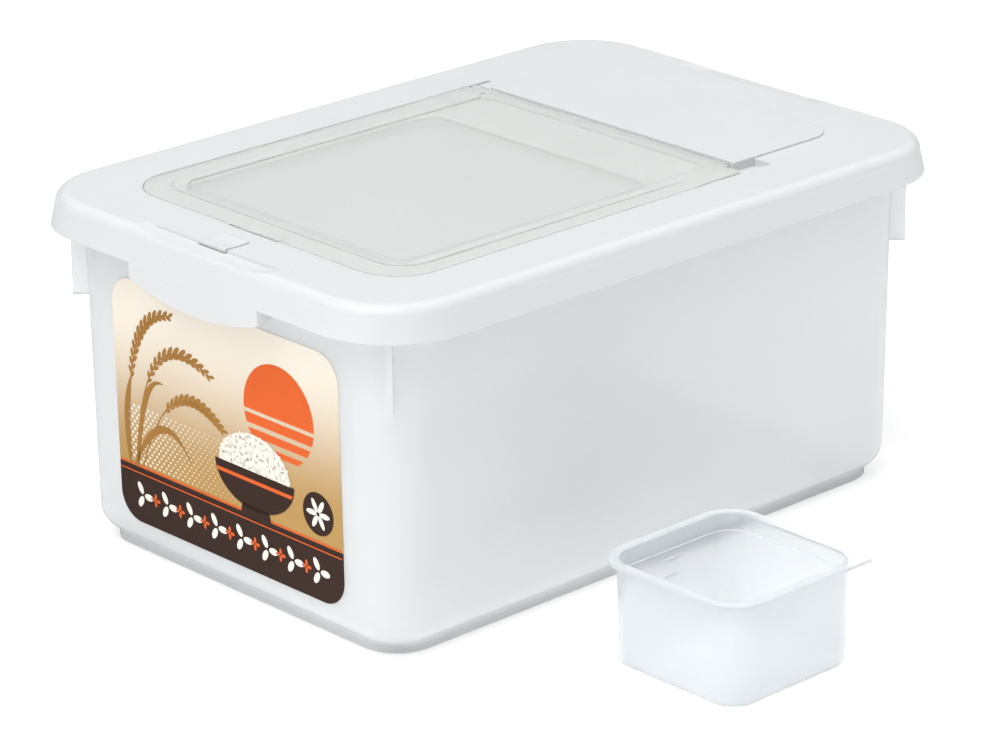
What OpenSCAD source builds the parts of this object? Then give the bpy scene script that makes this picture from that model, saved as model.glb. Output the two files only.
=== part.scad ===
// Rice bin with a flip lid and a measuring cup.
// Millimetres. The bin stands on z = 0, its front faces -Y and its long side lies along Y.
// The cup stands on the same floor, beside the bin's +X side.

/* [Lid frame] */
// overall width of the lid, across the front
lid_width = 226; // [206:1:246]
// overall length of the lid, front to rear
lid_length = 324; // [306:1:344]
// corner radius of the lid at the skirt's lower edge
lid_corner_r = 37; // [32:1:42]
// height of the lid's flat top above the floor
deck_z = 151.2; // [146:0.1:156]
// height of the skirt below the flat top
skirt_h = 14; // [12:0.5:15]
// how far the skirt leans in from its lower edge to the top
skirt_lean = 3.2; // [2:0.1:4]
// radius of the lid's rounded top edge
lid_edge_r = 5.25; // [3:0.25:6]
// wall of the skirt and of the deck
lid_wall = 2; // [1.6:0.1:2.2]
// how far the rear panel stands proud of the deck
rear_panel_rise = 0.8; // [0.5:0.1:1.2]
// distance from the lid's side to the raised panel's side
rear_panel_side_margin = 40; // [37:1:45]
// distance from the lid's rear edge to the raised panel's rear edge
rear_panel_margin = 35; // [28:1:42]
// radius of the raised panel's two rear corners
rear_panel_corner_r = 12; // [8:1:20]

/* [Grips] */
// width of the hanging grip at each end
grip_width = 78.2; // [60:0.2:90]
// lowest point of the grip, below the skirt's lower edge
grip_drop = 12.6; // [9:0.2:16]
// height of the straight ends of the grip, below the skirt's lower edge
grip_end_drop = 6.6; // [4:0.2:8]
// gap between the returns at the ends of the grip and the tub's rim
grip_return_gap = 0.6; // [0.4:0.1:3]
// width of the thumb scoop above each grip
scoop_width = 80.4; // [64:0.2:92]
// length of deck between the lid's end and the scoop's ridge
scoop_length = 12; // [9:0.5:14]
// depth of the scoop at its ridge
scoop_step = 1.1; // [0.5:0.1:1.3]
// further fall of the scoop out to the lid's edge
scoop_fall = 0.7; // [0.4:0.1:1.2]

/* [Tub] */
// how far the lid's lower edge stands out beyond the tub's wall, at the sides
overhang_side = 14.5; // [13:0.25:18]
// how far the lid's lower edge stands out beyond the tub's wall, at the ends
overhang_end = 14.2; // [12.5:0.1:18]
// height between the tub's rim and the underside of the lid's deck
rim_below_deck = 3; // [2.6:0.1:5]
// corner radius of the tub's wall at the rim
tub_corner_r = 21; // [19:1:30]
// how far each wall leans in from the rim down to the floor
tub_draft = 1.7; // [1:0.1:2.5]
// thickness of the tub's walls and floor
tub_wall = 2; // [1.5:0.1:2.5]
// radius of the rounded lower edge of the tub
tub_edge_r = 11.5; // [8:0.5:14]
// how far the rim stands out from the wall
rim_reach = 6; // [4:0.2:6.6]
// thickness of the rim
rim_thick = 2; // [1.5:0.1:3]
// height of the foot pan under the tub
foot_h = 3; // [2:0.25:5]
// distance from the tub's wall in to the foot pan's side
foot_inset = 7.2; // [5:0.2:10]
// corner radius of the foot pan
foot_corner_r = 18; // [12:1:24]
// how far the corner fins stand out
fin_reach = 6; // [4:0.5:7]
// thickness of the corner fins
fin_thick = 3; // [2:0.2:4]
// height of the fins below the rim
fin_h = 39; // [20:1:60]

/* [Flip lid] */
// distance from the lid's side to the flip lid's side
flap_side_margin = 30.5; // [28:0.5:35]
// distance from the lid's front end to the flip lid's front edge
flap_front_margin = 33; // [30:0.5:40]
// distance from the lid's rear end to the hinge
hinge_margin = 99; // [92:1:110]
// radius of the flip lid's two front corners
flap_corner_r = 20; // [14:1:26]
// thickness of the flip lid's flange
flap_thick = 1.6; // [1.3:0.1:2]
// gap between the flip lid's edge and the pocket around it
flap_gap = 0.5; // [0.3:0.05:0.8]
// distance from the flip lid's side in to the bead
bead_inset = 8.5; // [6:0.5:10]
// distance from the flip lid's front edge in to the bead
bead_front_inset = 10.5; // [8:0.5:12]
// width of the bead
bead_width = 7; // [6:0.5:9]
// corner radius of the bead's middle line
bead_corner_r = 11; // [8:0.5:14]
// how far the bead stands above the flange
bead_rise = 0.8; // [0.7:0.1:1.4]
// height of the raised shoulders at the flip lid's rear corners
shoulder_rise = 0.55; // [0.3:0.05:0.8]
// length of the raised shoulders
shoulder_length = 30; // [16:1:60]
// how far the window lies below the flange
window_drop = 0.4; // [0.2:0.1:0.6]
// distance from the hinge to the window's rear edge
window_rear_margin = 6.5; // [6:0.5:14]
// radius of the hinge barrel
barrel_r = 2.4; // [2:0.1:2.8]
// radius of the hinge pins
pin_r = 1.2; // [1:0.1:1.4]
// length of each hinge pin inside its lug
pin_grip = 4.5; // [3:0.5:5]
// length of the wide pocket at the hinge's +X end, behind the hinge line
wide_pocket_length = 15; // [8:0.5:20]
// length of the narrow pocket at the hinge's -X end, behind the hinge line
narrow_pocket_length = 11; // [6:0.5:20]
// width of the narrow pocket
narrow_pocket_width = 2; // [1.5:0.1:4]
// width of the finger lip at the flip lid's front
lip_width = 30.2; // [20:0.2:40]
// how far the finger lip stands out in front of the flip lid
lip_reach = 0.3; // [0.2:0.05:0.4]
// how far the finger lip stands above the flange
lip_rise = 0.3; // [0.1:0.05:0.4]
// length of the recess under the finger lip
lip_recess = 2.4; // [1:0.1:3]
// how far the finger notch reaches in front of the flip lid's pocket
notch_reach = 0.8; // [0.4:0.1:1.6]

/* [Pouring opening] */
// distance from the flip lid's side to the opening
opening_side_margin = 16.5; // [14:0.5:26]
// distance from the flip lid's front edge to the opening
opening_front_margin = 15; // [13:0.5:20]
// length of the opening
opening_length = 140; // [110:1:150]
// corner radius of the opening
opening_corner_r = 7; // [5:1:20]
// height of the wall that hangs around the opening, below the flip lid's seat
opening_wall_h = 4; // [3:0.5:8]
// height of the sealing rib under the flip lid
seal_h = 2.6; // [2:0.2:3.4]

/* [Press tab] */
// width of the press tab
tab_width = 16; // [12:0.5:20]
// length of the press tab
tab_length = 12; // [10:0.5:13]
// how far the press tab stands above the deck
tab_rise = 0.7; // [0.4:0.1:0.8]
// thickness of the press tab
tab_thick = 1.8; // [1.4:0.1:2.2]
// gap between the press tab and the deck around it
tab_gap = 0.3; // [0.3:0.05:0.6]
// width of the lever that reaches under the flip lid
lever_width = 10; // [6:0.5:12]

/* [Label] */
// distance from the tub's side to the label's side
label_side_margin = 29.5; // [24:0.5:48]
// height of the label
label_height = 106; // [60:1:108]
// height of the label's lower edge above the floor
label_z = 16; // [14:0.5:24]
// corner radius of the label
label_corner_r = 12; // [4:1:16]
// thickness of the label
label_thick = 0.25; // [0.2:0.05:0.5]

/* [Measuring cup] */
// outside width of the cup's wall at the top
cup_width = 70.4; // [60:0.2:80]
// height of the cup
cup_h = 44; // [36:0.5:56]
// corner radius of the cup's wall at the top
cup_corner_r = 12; // [8:0.5:16]
// how far each wall leans in from the top down to the floor
cup_draft = 0.8; // [0.4:0.1:1.6]
// thickness of the cup's walls and floor
cup_wall = 1.4; // [1.1:0.1:2]
// radius of the cup's rounded lower edge
cup_edge_r = 2.5; // [2:0.25:4]
// how far the cup's flange stands out
cup_flange = 3.3; // [2:0.1:5]
// thickness of the cup's flange
cup_flange_thick = 1.5; // [1:0.1:2.5]
// depth of the fill line below the cup's top
fill_line_depth = 7; // [5:0.5:12]
// distance from the tub's middle to the cup's middle, across
cup_x = 183; // [170:1:260]
// distance from the tub's middle to the cup's middle, along
cup_y = -47; // [-120:1:120]

/* [Hidden] */
$fn = 96;
over = 1; // how far a cutting solid runs past a face
fit_gap = 0.3; // gap between pieces of different bodies
skirt_z = deck_z - skirt_h; // the skirt's lower edge
lid_x = lid_width / 2;
lid_y = lid_length / 2;
tub_x = lid_x - overhang_side; // the tub's wall at the rim
tub_y = lid_y - overhang_end;
lid_cx = lid_x - lid_corner_r; // centres of the lid's corners
lid_cy = lid_y - lid_corner_r;
lean_rate = skirt_lean / skirt_h;
deck_under = deck_z - lid_wall;
top_r = lid_corner_r - skirt_lean;
scoop_y = lid_y - scoop_length; // the ridge
grip_z = skirt_z - grip_drop;
grip_arch = grip_drop - grip_end_drop;
grip_arc_r = (pow(grip_width / 2, 2) + pow(grip_arch, 2)) / (2 * grip_arch);
grip_return_rise = 1.6; // rise of a return's lower edge, from the grip inward
scoop_edge = scoop_step + scoop_fall; // depth of the scoop at the lid's edge
scoop_slope = 0.4; // run of the ridge's steep face
scoop_bowl = 3.2; // sag of the wide arc that ends the scoop
scoop_arc_r = (pow(scoop_width / 2, 2) + pow(scoop_bowl, 2)) / (2 * scoop_bowl);
seat_w = rim_reach - 1; // width of the ring that sits on the tub's rim
plug_h = 5; // how far the locating ring reaches into the tub
plug_wall = 1.6;

rim_z = deck_under - rim_below_deck; // top of the tub's rim
grip_return = lid_y - tub_y - rim_reach - grip_return_gap; // depth of the grip's returns
tub_cx = tub_x - tub_corner_r; // centres of the tub's corners
tub_cy = tub_y - tub_corner_r;
draft_rate = tub_draft / rim_z;
foot_x = tub_x - foot_inset;
foot_y = tub_y - foot_inset;
arc_z = foot_h + tub_edge_r; // centre height of the rounded lower edge
fin_z = rim_z - rim_thick - fin_h;

flap_x = lid_x - flap_side_margin;
flap_y = -lid_y + flap_front_margin; // the flip lid's front edge
hinge_y = lid_y - hinge_margin;
hinge_z = deck_z + rear_panel_rise - barrel_r; // barrel level with the raised panel
flap_under = deck_z - flap_thick; // underside of the flip lid
ledge_z = flap_under - fit_gap; // the seat under the flip lid
ledge_under = ledge_z - lid_wall;
trough_front = barrel_r + 1.2; // the trough under the barrel, from the hinge line
trough_rear = barrel_r + 0.5;
trough_z = hinge_z - barrel_r - fit_gap;
pocket_x = flap_x + flap_gap;
panel_x = lid_x - rear_panel_side_margin; // the raised panel's side
panel_y = lid_y - rear_panel_margin; // rear edge of the raised panel
narrow_x = pocket_x - narrow_pocket_width; // the narrow pocket's inner side
barrel_clear = 0.5; // from a barrel end to the pocket beside it
barrel_right = panel_x - barrel_clear;
barrel_left = narrow_x - barrel_clear;
barrel_taper = 5.5; // length of the barrel's tapered end
barrel_tip_r = barrel_r - 0.5;
end_pocket_z = hinge_z - pin_r - fit_gap; // floor of the open pockets beside the hinge
lug_w = pin_grip + 1; // width of the hinge lugs, outward from the pockets
lug_y = 7; // length of a lug
running_fit = 0.08; // radial room around the pins
bore_r = pin_r + running_fit;
ear_y = hinge_y - 3; // rear edge of the flip lid beside the barrel
lip_under = deck_z + lip_rise - 0.6; // underside of the finger lip
bead_x = flap_x - bead_inset - bead_width / 2; // the bead's middle line
bead_y = flap_y + bead_front_inset + bead_width / 2;
bead_end = hinge_y - window_rear_margin - bead_width / 2;
bead_crown = 0.15; // the bead's middle above its edges
bead_edge_r = 0.5;
bead_arc_r = (pow(bead_width / 2, 2) + pow(bead_crown, 2)) / (2 * bead_crown);
shoulder_run = 9; // length of the shoulder's sloped start
open_y0 = flap_y + opening_front_margin;
open_y1 = open_y0 + opening_length;
open_x = flap_x - opening_side_margin;
seal_wall = 1.4;

tab_front = -scoop_y - 1; // the press tab's front edge
tab_top = deck_z + tab_rise;
tab_rear = tab_front + tab_length;
tab_axis_y = tab_rear - 1; // the line the tab turns on
tab_axis_z = tab_top - tab_thick - 0.7;
tab_pin_r = 1.1;
tab_pin_length = 2.2;
tab_bore_r = tab_pin_r + running_fit;
tab_edge_r = 0.7; // the tab's rounded front edge
tab_dish_r = 40; // the shallow finger dish
tab_dish_depth = 0.45;
cheek_w = 3; // cheeks that carry the tab's pins
cheek_l = 6;
cheek_drop = 2.6; // below the tab's pins
lever_rear = flap_y + 2.2; // the lever ends under the flip lid's lip
lever_thick = 1.3;
lever_drop = 1.6; // room between the resting lever and the flip lid
tab_slot_z = rim_z + 1.1; // floor of the cut for the tab

label_tilt = atan(draft_rate);
glue = 0.02; // layer between the label and the wall

cup_cx = cup_width / 2 - cup_corner_r; // centres of the cup's corners, from the cup's middle
cup_rate = cup_draft / cup_h;
cup_top_z = cup_h - cup_flange_thick;

// A solid or hollow form with a rounded-rectangle plan: the child is the half section to the
// right of a corner's centre, and (cx, cy) are the corner centres.
module swept(cx, cy, z0, z1) {
    for (sx = [-1, 1], sy = [-1, 1])
        translate([sx * cx, sy * cy, 0])
            rotate_extrude() children();
    rotate([90, 0, 0])
        linear_extrude(2 * cy, center = true)
            mirrored_section(cx, z0, z1) children();
    rotate([90, 0, 90])
        linear_extrude(2 * cx, center = true)
            mirrored_section(cy, z0, z1) children();
}

// Both sides of a section, with the core between them filled.
module mirrored_section(c, z0, z1) {
    for (s = [0, 1])
        mirror([s, 0])
            translate([c, 0]) children();
    translate([-c, z0])
        square([2 * c, z1 - z0]);
}

// A rounded rectangle in plan, from its half sizes.
module plan(x, y, r) {
    square([2 * (x - r), 2 * y], center = true);
    square([2 * x, 2 * (y - r)], center = true);
    for (sx = [-1, 1], sy = [-1, 1])
        translate([sx * (x - r), sy * (y - r)])
            circle(r);
}

// A plate with a rounded-rectangle plan.
module plate(x, y, r, z0, z1) {
    translate([0, 0, z0])
        linear_extrude(z1 - z0)
            plan(x, y, r);
}

// A plate from y0 to y1 with the front corners rounded and the rear ones square.
module front_rounded(x, y0, y1, r, z0, z1) {
    translate([0, 0, z0])
        linear_extrude(z1 - z0)
            front_rounded_plan(x, y0, y1, r);
}

module front_rounded_plan(x, y0, y1, r) {
    translate([-x, y0 + r])
        square([2 * x, y1 - y0 - r]);
    translate([-x + r, y0])
        square([2 * (x - r), r + over]);
    for (s = [-1, 1])
        translate([s * (x - r), y0 + r])
            circle(r);
}

// A section extruded across the width, from -x to x; the section is drawn in (y, z).
module across(x) {
    rotate([90, 0, 90])
        linear_extrude(2 * x, center = true)
            children();
}

// ---- tub ----

// Half section of the tub, from the corner centre out, set in by one thickness.
module tub_section(inset, z_top) {
    r_arc = tub_corner_r - inset - (rim_z - arc_z) * draft_rate;
    r_top = tub_corner_r - inset - (rim_z - z_top) * draft_rate;
    edge_r = tub_edge_r - inset;
    polygon([[0, arc_z], [r_arc, arc_z], [r_top, z_top], [0, z_top]]);
    translate([0, foot_h + inset])
        square([r_arc - edge_r, tub_edge_r - inset]);
    intersection() {
        translate([r_arc - edge_r, arc_z])
            circle(edge_r);
        translate([0, 0])
            square([tub_corner_r, arc_z + over]);
    }
}

module tub_outside() {
    swept(tub_cx, tub_cy, foot_h, rim_z)
        tub_section(0, rim_z);
    plate(foot_x, foot_y, foot_corner_r, 0, arc_z);
    plate(tub_x + rim_reach, tub_y + rim_reach, tub_corner_r + rim_reach, rim_z - rim_thick, rim_z);
    for (sx = [0, 1], sy = [0, 1])
        mirror([sx, 0, 0])
            mirror([0, sy, 0])
                corner_fin();
}

module corner_fin() {
    translate([tub_cx, tub_cy, fin_z])
        rotate(45)
            translate([tub_corner_r - tub_draft - tub_wall / 2, -fin_thick / 2, 0])
                cube([fin_reach + tub_draft + tub_wall / 2, fin_thick, fin_h + rim_thick / 2]);
}

module tub_inside() {
    swept(tub_cx, tub_cy, foot_h + tub_wall, rim_z + over)
        tub_section(tub_wall, rim_z + over);
    plate(foot_x - tub_wall, foot_y - tub_wall, foot_corner_r - tub_wall, tub_wall, arc_z);
}

module tub() {
    color([0.9, 0.93, 0.96, 0.6])
        difference() {
            tub_outside();
            tub_inside();
        }
}

// ---- lid frame ----

// Half section of the lid's outside, from the corner centre out.
module lid_section() {
    shoulder_z = deck_z - lid_edge_r;
    shoulder_r = top_r + lid_edge_r * lean_rate;
    polygon([[0, skirt_z], [lid_corner_r, skirt_z], [shoulder_r, shoulder_z], [0, shoulder_z]]);
    translate([0, shoulder_z - over])
        square([shoulder_r - lid_edge_r, lid_edge_r + over]);
    intersection() {
        translate([shoulder_r - lid_edge_r, shoulder_z])
            circle(lid_edge_r);
        translate([0, shoulder_z - over / 2])
            square([lid_corner_r, lid_edge_r + over]);
    }
}

// Half section of the room inside the skirt.
module lid_hollow_section() {
    shoulder_z = deck_z - lid_edge_r;
    shoulder_r = top_r + lid_edge_r * lean_rate - lid_wall;
    inner_r = lid_edge_r - lid_wall;
    below = over * lean_rate;
    polygon([[0, skirt_z - over], [lid_corner_r - lid_wall + below, skirt_z - over],
        [shoulder_r, shoulder_z], [0, shoulder_z]]);
    translate([0, shoulder_z - over])
        square([shoulder_r - inner_r, inner_r + over]);
    intersection() {
        translate([shoulder_r - inner_r, shoulder_z])
            circle(inner_r);
        translate([0, shoulder_z - over / 2])
            square([lid_corner_r, lid_edge_r + over]);
    }
}

// The ring that sits on the tub's rim, and the ring that locates inside the tub's mouth.
module seat_rings() {
    inner_x = tub_x - tub_wall - fit_gap;
    inner_y = tub_y - tub_wall - fit_gap;
    inner_r = tub_corner_r - tub_wall - fit_gap;
    out = tub_wall + fit_gap + seat_w;
    difference() {
        union() {
            plate(inner_x + out, inner_y + out, inner_r + out, rim_z + fit_gap, deck_under + over / 2);
            plate(inner_x, inner_y, inner_r, rim_z - plug_h, rim_z + over);
        }
        plate(inner_x - plug_wall, inner_y - plug_wall, inner_r - plug_wall,
            rim_z - plug_h - over, deck_under + over);
    }
}

// The hanging grip at the front: a curved apron, flush with the skirt, with a return at each end.
module grip() {
    join = 2; // how far the grip runs up into the skirt
    intersection() {
        across(grip_width / 2)
            union() {
                polygon([[-lid_y, grip_z - over], [-lid_y + lid_wall, grip_z - over],
                    [-lid_y + lid_wall, skirt_z], [-lid_y + lid_wall + join * lean_rate, skirt_z + join],
                    [-lid_y + join * lean_rate, skirt_z + join], [-lid_y, skirt_z]]);
            }
        translate([0, -lid_y + grip_return, grip_z + grip_arc_r])
            rotate([90, 0, 0])
                linear_extrude(2 * grip_return, center = true)
                    circle(grip_arc_r);
    }
    for (s = [-1, 1])
        translate([s * (grip_width - lid_wall) / 2, 0, 0])
            across(lid_wall / 2)
                polygon([[-lid_y, skirt_z - grip_end_drop], [-lid_y + grip_return, skirt_z - grip_end_drop + grip_return_rise],
                    [-lid_y + grip_return, deck_under + lid_wall / 2],
                    [-lid_y + lid_edge_r, deck_under + lid_wall / 2],
                    [-lid_y + lean_rate * (skirt_h - lid_edge_r) + lid_wall / 2, deck_z - lid_edge_r],
                    [-lid_y + lid_wall, skirt_z], [-lid_y, skirt_z]]);
}

// The shallow thumb scoop in the deck above the front grip; its ends fade out in a wide arc.
module scoop() {
    intersection() {
        across(scoop_width / 2 + 2 * over)
            polygon([[-scoop_y, deck_z + over], [-scoop_y, deck_z],
                [-scoop_y - scoop_slope, deck_z - scoop_step],
                [-lid_y - over, deck_z - scoop_edge], [-lid_y - over, deck_z + over]]);
        translate([0, -scoop_y - scoop_length / 2, deck_z - scoop_bowl + scoop_arc_r])
            rotate([90, 0, 0])
                cylinder(h = 2 * scoop_length, r = scoop_arc_r, center = true, $fn = 720);
    }
}

module at_both_ends() {
    for (s = [0, 1])
        mirror([0, s, 0])
            children();
}

// The raised panel between the hinge and the lid's rear edge.
module rear_panel() {
    front = hinge_y + trough_rear;
    mirror([0, 1, 0])
        front_rounded(panel_x, -panel_y, -front, rear_panel_corner_r, deck_under, deck_z + rear_panel_rise);
}

// Extra deck under the flip lid: the sunk seat, the trough for the barrel and the lugs.
module seat_block() {
    margin = lid_wall;
    front_rounded(pocket_x + margin, flap_y - flap_gap - margin, hinge_y + trough_rear + margin,
        flap_corner_r + flap_gap + margin, ledge_under, deck_under + over / 2);
    // wall around the opening
    front_rounded_box(open_x + lid_wall, open_y0 - lid_wall, open_y1 + lid_wall,
        opening_corner_r + lid_wall, ledge_z - opening_wall_h, ledge_under + over);
    // trough
    translate([-narrow_x - margin, hinge_y - trough_front - margin, trough_z - lid_wall])
        cube([narrow_x + panel_x + 2 * margin, trough_front + trough_rear + 2 * margin,
            deck_under - trough_z + lid_wall]);
    // hinge lugs
    for (s = [0, 1])
        mirror([s, 0, 0])
            translate([pocket_x, hinge_y - lug_y / 2, trough_z - lid_wall])
                cube([lug_w, lug_y, deck_z - trough_z + lid_wall - over / 2]);
    // floors of the pockets beside the hinge
    end_pocket(panel_x, wide_pocket_length, margin, end_pocket_z - lid_wall, deck_under + over / 2);
    mirror([1, 0, 0])
        end_pocket(narrow_x, narrow_pocket_length, margin, end_pocket_z - lid_wall, deck_under + over / 2);
}

// The room beside the hinge at the +X end, grown by a margin in plan.
module end_pocket(inner_x, length, margin, z0, z1) {
    translate([inner_x - margin, hinge_y - trough_front - margin, z0])
        cube([pocket_x - inner_x + 2 * margin, trough_front + length + 2 * margin, z1 - z0]);
}

module front_rounded_box(x, y0, y1, r, z0, z1) {
    translate([0, (y0 + y1) / 2, 0])
        plate(x, (y1 - y0) / 2, r, z0, z1);
}

// Everything that is cut out of the lid frame for the flip lid.
module flap_cuts() {
    front_rounded(pocket_x, flap_y - flap_gap, hinge_y + trough_rear,
        flap_corner_r + flap_gap, ledge_z, deck_z + rear_panel_rise + over);
    front_rounded_box(open_x, open_y0, open_y1, opening_corner_r,
        ledge_z - opening_wall_h - over, ledge_z + over);
    translate([-narrow_x, hinge_y - trough_front, trough_z])
        cube([narrow_x + panel_x, trough_front + trough_rear, deck_z - trough_z + over]);
    end_pocket(panel_x, wide_pocket_length, 0, end_pocket_z, deck_z + 2 * over);
    mirror([1, 0, 0])
        end_pocket(narrow_x, narrow_pocket_length, 0, end_pocket_z, deck_z + 2 * over);
    // bores for the pins
    for (s = [0, 1])
        mirror([s, 0, 0])
            translate([pocket_x - over, hinge_y, hinge_z])
                rotate([0, 90, 0])
                    cylinder(h = lug_w + 2 * over, r = bore_r);
    // finger notch in front of the lip and under it
    translate([-lip_width / 2, flap_y - flap_gap - notch_reach, ledge_under - over])
        cube([lip_width, flap_gap + notch_reach + lip_recess, deck_z - ledge_under + 2 * over]);
}

// Cheeks under the deck that carry the press tab's pins.
module tab_cheeks() {
    for (s = [0, 1])
        mirror([s, 0, 0])
            translate([tab_width / 2 + tab_gap, tab_axis_y - cheek_l / 2, tab_axis_z - cheek_drop])
                cube([cheek_w, cheek_l, deck_under - tab_axis_z + cheek_drop + over / 2]);
}

module tab_cuts() {
    half = tab_width / 2 + tab_gap;
    translate([-half, tab_front - tab_gap, tab_slot_z])
        cube([2 * half, tab_length + 2 * tab_gap, deck_z - tab_slot_z + over]);
    // room for the lever below the deck
    translate([-lever_width / 2 - tab_gap, tab_front + tab_gap, tab_slot_z])
        cube([lever_width + 2 * tab_gap, lever_rear - tab_front + tab_gap + 1.5, ledge_z - tab_slot_z]);
    for (s = [0, 1])
        mirror([s, 0, 0])
            translate([half - over, tab_axis_y, tab_axis_z])
                rotate([0, 90, 0])
                    cylinder(h = tab_pin_length + over + tab_gap, r = tab_bore_r);
}

module lid_frame() {
    color([0.97, 0.97, 0.96])
        difference() {
            union() {
                difference() {
                    swept(lid_cx, lid_cy, skirt_z, deck_z)
                        lid_section();
                    swept(lid_cx, lid_cy, skirt_z - over, deck_under)
                        lid_hollow_section();
                    at_both_ends()
                        scoop();
                }
                scoop_backing();
                seat_rings();
                at_both_ends()
                    grip();
                rear_panel();
                seat_block();
                tab_cheeks();
            }
            flap_cuts();
            tab_cuts();
        }
}

// Thickens the deck under the scoops, so the scoops don't thin it.
module scoop_backing() {
    back = scoop_edge;
    at_both_ends()
        intersection() {
            across(scoop_width / 2 + lid_wall)
                polygon([[-scoop_y + lid_wall, deck_under + 0.5], [-scoop_y + lid_wall, deck_under - back],
                    [-lid_y + lid_wall + 1, deck_under - back], [-lid_y + lid_wall + 1, deck_under - back + 0.5],
                    [-lid_y + lid_edge_r + 1, deck_under + 0.2]]);
            translate([-lid_x, -lid_y, skirt_z])
                cube([lid_width, lid_length, skirt_h]);
        }
}

// ---- flip lid ----

// The section of the bead: a crowned top with rounded edges, its foot sunk into the flange.
module bead_section() {
    half = bead_width / 2;
    edge_z = bead_rise - bead_crown - bead_edge_r;
    intersection() {
        translate([0, bead_rise - bead_arc_r])
            circle(bead_arc_r, $fn = 360);
        union() {
            translate([-half, -over])
                square([bead_width, over + edge_z]);
            translate([-half + bead_edge_r, -over])
                square([bead_width - 2 * bead_edge_r, 2 * over + bead_rise]);
            for (s = [-1, 1])
                translate([s * (half - bead_edge_r), edge_z])
                    circle(bead_edge_r);
        }
    }
}

module bead() {
    turn_x = bead_x - bead_corner_r;
    turn_y = bead_y + bead_corner_r;
    translate([0, 0, deck_z]) {
        for (s = [-1, 1])
            translate([s * bead_x, turn_y, 0])
                rotate([90, 0, 180])
                    linear_extrude(bead_end - turn_y)
                        bead_section();
        translate([0, bead_y, 0])
            across(turn_x)
                bead_section();
        for (s = [0, 1])
            mirror([s, 0, 0])
                translate([turn_x, turn_y, 0])
                    rotate(-90)
                        rotate_extrude(angle = 90)
                            translate([bead_corner_r, 0])
                                bead_section();
        // rounded rear ends
        for (s = [-1, 1])
            translate([s * bead_x, bead_end, 0])
                rotate_extrude()
                    intersection() {
                        bead_section();
                        translate([0, -over])
                            square([bead_width, bead_rise + 2 * over]);
                    }
    }
}

// The flange's raised rear corners, outside the bead.
module shoulders() {
    start_y = ear_y - shoulder_length;
    for (s = [-1, 1])
        translate([s * (bead_x + flap_x) / 2, 0, 0])
            across((flap_x - bead_x) / 2)
                polygon([[start_y, deck_z - flap_thick / 2], [start_y, deck_z],
                    [start_y + shoulder_run, deck_z + shoulder_rise], [ear_y, deck_z + shoulder_rise],
                    [ear_y, deck_z - flap_thick / 2]]);
}

// The slope from the window up to the hinge's crest.
module crest_slope() {
    front = hinge_y - window_rear_margin;
    crest = hinge_z + barrel_r * cos(40);
    translate([(barrel_right - barrel_taper - barrel_left) / 2, 0, 0])
        across((barrel_right - barrel_taper + barrel_left) / 2)
            polygon([[front, deck_z - flap_thick / 2], [front, deck_z - window_drop],
                [hinge_y - barrel_r * sin(40), crest], [hinge_y, hinge_z]]);
}

module barrel() {
    pin_x = pocket_x + pin_grip;
    translate([0, hinge_y, hinge_z])
        rotate([0, 90, 0]) {
            translate([0, 0, -barrel_left])
                cylinder(h = barrel_left + barrel_right - barrel_taper, r = barrel_r);
            translate([0, 0, barrel_right - barrel_taper])
                cylinder(h = barrel_taper, r1 = barrel_r, r2 = barrel_tip_r);
            cylinder(h = 2 * pin_x, r = pin_r, center = true);
        }
}

module sealing_rib() {
    rib_x = open_x - fit_gap;
    rib_r = opening_corner_r - fit_gap;
    difference() {
        front_rounded_box(rib_x, open_y0 + fit_gap, open_y1 - fit_gap, rib_r,
            flap_under - seal_h, flap_under + over / 2);
        front_rounded_box(rib_x - seal_wall, open_y0 + fit_gap + seal_wall,
            open_y1 - fit_gap - seal_wall, rib_r - seal_wall, flap_under - seal_h - over, flap_under);
    }
}

module flap() {
    window_x = bead_x - bead_width / 2;
    window_y0 = bead_y + bead_width / 2;
    window_y1 = hinge_y - window_rear_margin;
    window_r = bead_corner_r - bead_width / 2;
    color([0.93, 0.95, 0.95, 0.5])
        difference() {
            union() {
                front_rounded(flap_x, flap_y, ear_y, flap_corner_r, flap_under, deck_z);
                translate([-barrel_left, ear_y - over, flap_under])
                    cube([barrel_left + barrel_right, hinge_y - ear_y + over, flap_thick]);
                sealing_rib();
                bead();
                shoulders();
                // finger lip
                translate([-lip_width / 2 + over, flap_y - lip_reach, flap_under])
                    cube([lip_width - 2 * over, lip_reach + bead_front_inset / 2, flap_thick + lip_rise]);
                crest_slope();
                barrel();
            }
            // recess under the finger lip
            translate([-lip_width / 2, flap_y - over, flap_under - over])
                cube([lip_width, lip_recess + over, lip_under - flap_under + over]);
            // sunk window
            front_rounded_box(window_x, window_y0, window_y1, window_r, deck_z - window_drop,
                deck_z + bead_rise + over);
        }
}

// ---- press tab ----

module press_tab() {
    pad_under = tab_top - tab_thick;
    color([0.98, 0.97, 0.94]) {
        difference() {
            across(tab_width / 2)
                translate([tab_front, pad_under]) {
                    square([tab_length, tab_thick - tab_edge_r]);
                    translate([tab_edge_r, 0])
                        square([tab_length - tab_edge_r, tab_thick]);
                    translate([tab_edge_r, tab_thick - tab_edge_r])
                        circle(tab_edge_r);
                }
            // shallow finger dish
            translate([0, tab_front + tab_length / 2, tab_top + tab_dish_r - tab_dish_depth])
                rotate([0, 90, 0])
                    cylinder(h = 2 * tab_width, r = tab_dish_r, center = true, $fn = 360);
        }
        translate([0, tab_axis_y, tab_axis_z])
            rotate([0, 90, 0])
                cylinder(h = tab_width + 2 * tab_pin_length, r = tab_pin_r, center = true);
        // lever
        translate([-lever_width / 2, tab_axis_y - 1, flap_under - lever_drop - lever_thick])
            cube([lever_width, lever_rear - tab_axis_y + 1, lever_thick]);
        translate([-lever_width / 2, tab_axis_y - 1, flap_under - lever_drop - lever_thick])
            cube([lever_width, 2, pad_under - flap_under + lever_drop + lever_thick + tab_thick / 2]);
    }
}

// ---- label ----

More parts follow.
